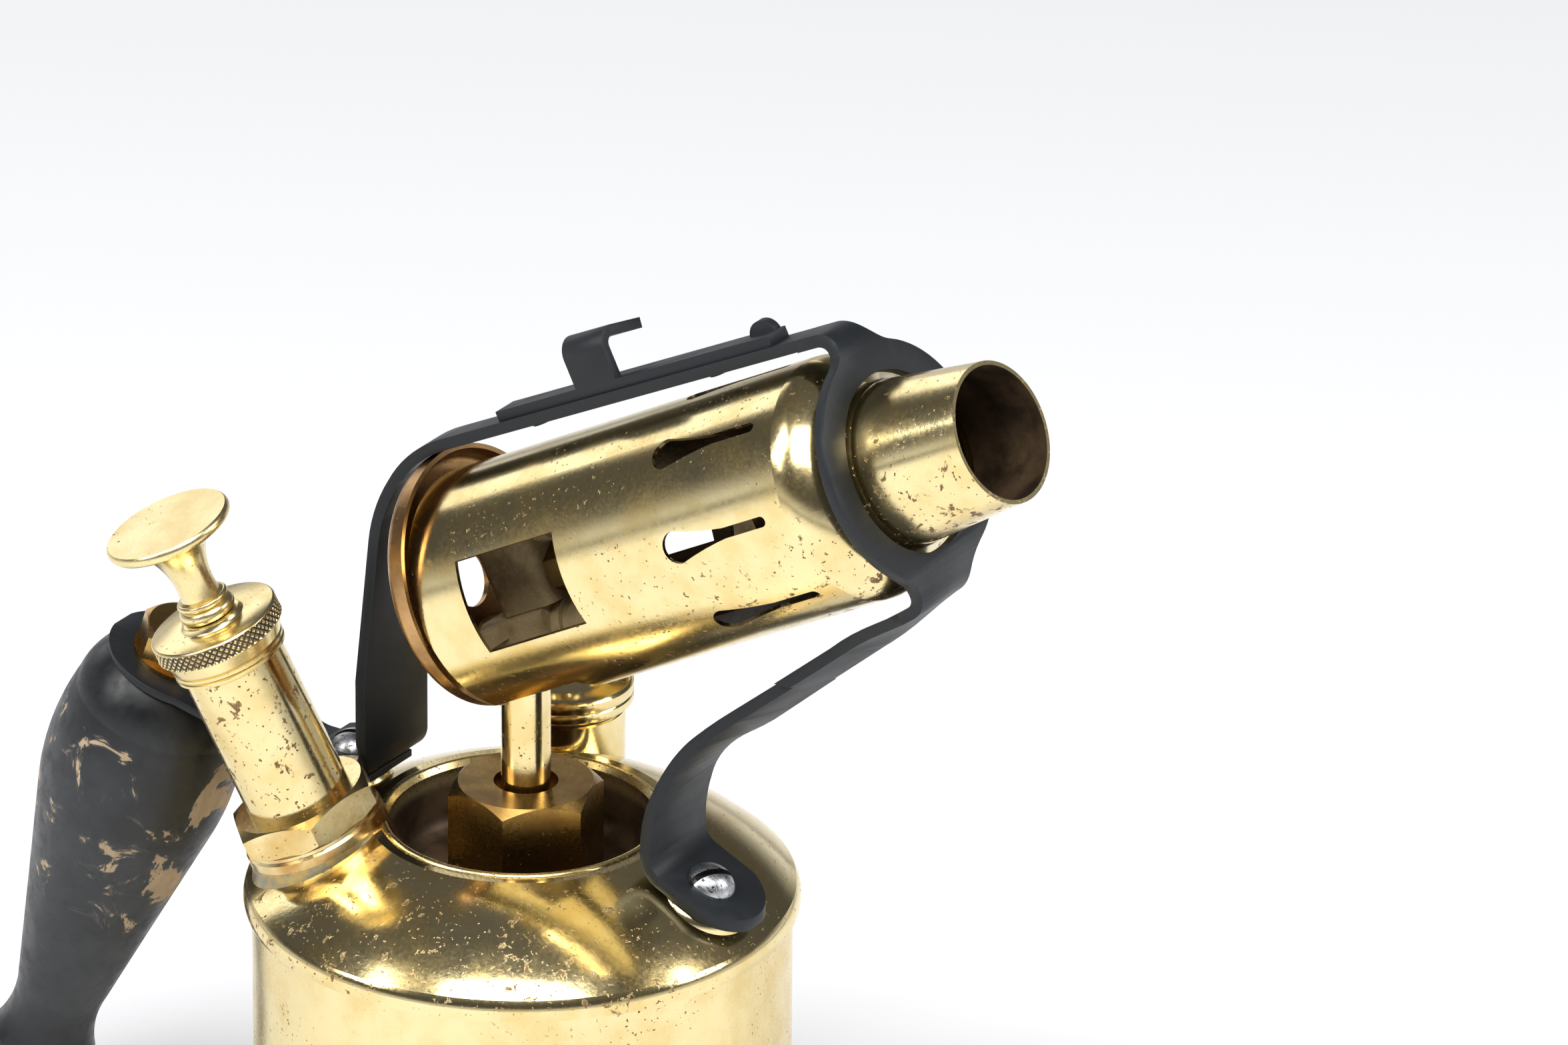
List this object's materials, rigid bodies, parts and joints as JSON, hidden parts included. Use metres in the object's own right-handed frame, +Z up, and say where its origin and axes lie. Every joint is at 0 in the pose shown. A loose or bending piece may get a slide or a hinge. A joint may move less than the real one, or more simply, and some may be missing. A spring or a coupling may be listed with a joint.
{
  "type": "blowlamp",
  "caption": "Brass liquid-fuel blowlamp: drum tank with spirit cup, tilted slotted burner held in a black strap with an iron rest, hand pump, winged filler cap and turned wooden grip.",
  "frame": {"origin": "centre of the tank's flat bottom, on the surface the lamp stands on", "axes": "+Z up, +X the way the burner's mouth points, handle at -X"},
  "size_m": [0.2299, 0.1032, 0.2117],
  "materials": {
    "polished_brass": "polished, lightly tarnished",
    "aged_brass": "dull, tarnished brown",
    "scaled_casting": "rough, heat-scaled casting",
    "solder": "dull grey soft solder",
    "black_steel": "satin black",
    "bright_steel": "bright, scuffed",
    "leather": "oiled",
    "black_wood": "worn black paint over wood"
  },
  "bodies": {
    "lamp": {"burner_block": "scaled_casting", "burner_jacket": "polished_brass", "cap_screw": "bright_steel", "dip_tube": "aged_brass", "filler_neck": "polished_brass", "flame_tube": "aged_brass", "front_post": "polished_brass", "handle_bolt": "bright_steel", "handle_bracket": "black_steel", "handle_ferrule": "bright_steel", "handle_grip": "black_wood", "handle_nut": "polished_brass", "iron_rest": "black_steel", "jet_body": "scaled_casting", "jet_nipple": "aged_brass", "pump_barrel": "polished_brass", "pump_cap": "polished_brass", "pump_collar": "polished_brass", "pump_fillet": "solder", "pump_nut": "polished_brass", "pump_washer": "polished_brass", "rear_cap": "aged_brass", "rear_post": "polished_brass", "rest_rivets": "black_steel", "riser_bush": "aged_brass", "riser_nut": "aged_brass", "riser_tube": "polished_brass", "spirit_cup": "aged_brass", "strap_screws": "bright_steel", "support_strap": "black_steel", "tank_base": "polished_brass", "tank_shell": "polished_brass", "tank_shoulder": "polished_brass", "valve_body": "aged_brass", "valve_plug": "aged_brass", "valve_spring": "bright_steel", "vaporiser_loop": "scaled_casting"},
    "pump_plunger": {"pump_knob": "polished_brass", "pump_rod": "polished_brass", "pump_leather": "leather", "leather_washers": "bright_steel", "rod_nut": "bright_steel"},
    "filler_lift": {"filler_washer": "leather"},
    "filler_cap": {"filler_cap": "polished_brass"},
    "valve_pip": {"valve_pip": "aged_brass"}
  },
  "joints": [
    {"name": "pump_stroke", "type": "slide", "parent": "lamp", "child": "pump_plunger", "axis": [-0.326, -0.224, 0.9184], "range_m": [0, 0.062]},
    {"name": "filler_rise", "type": "slide", "parent": "lamp", "child": "filler_lift", "axis": [0, 0, 1], "range_m": [0, 0.0045]},
    {"name": "filler_turn", "type": "hinge", "parent": "filler_lift", "child": "filler_cap", "pos_m": [-0.01439, 0.0356, 0.1018], "axis": [0, 0, 1], "range_deg": [0, 1082]},
    {"name": "valve_opening", "type": "slide", "parent": "lamp", "child": "valve_pip", "axis": [0.326, 0.224, -0.9184], "range_m": [0, 0.0012], "stiffness_N_per_m": 120, "springref_m": -0.002, "deforming": ["valve_spring"]}
  ],
  "couplings": [
    {"joint": "filler_turn", "follows": "filler_rise", "rad_per_m": 4188.8}
  ]
}
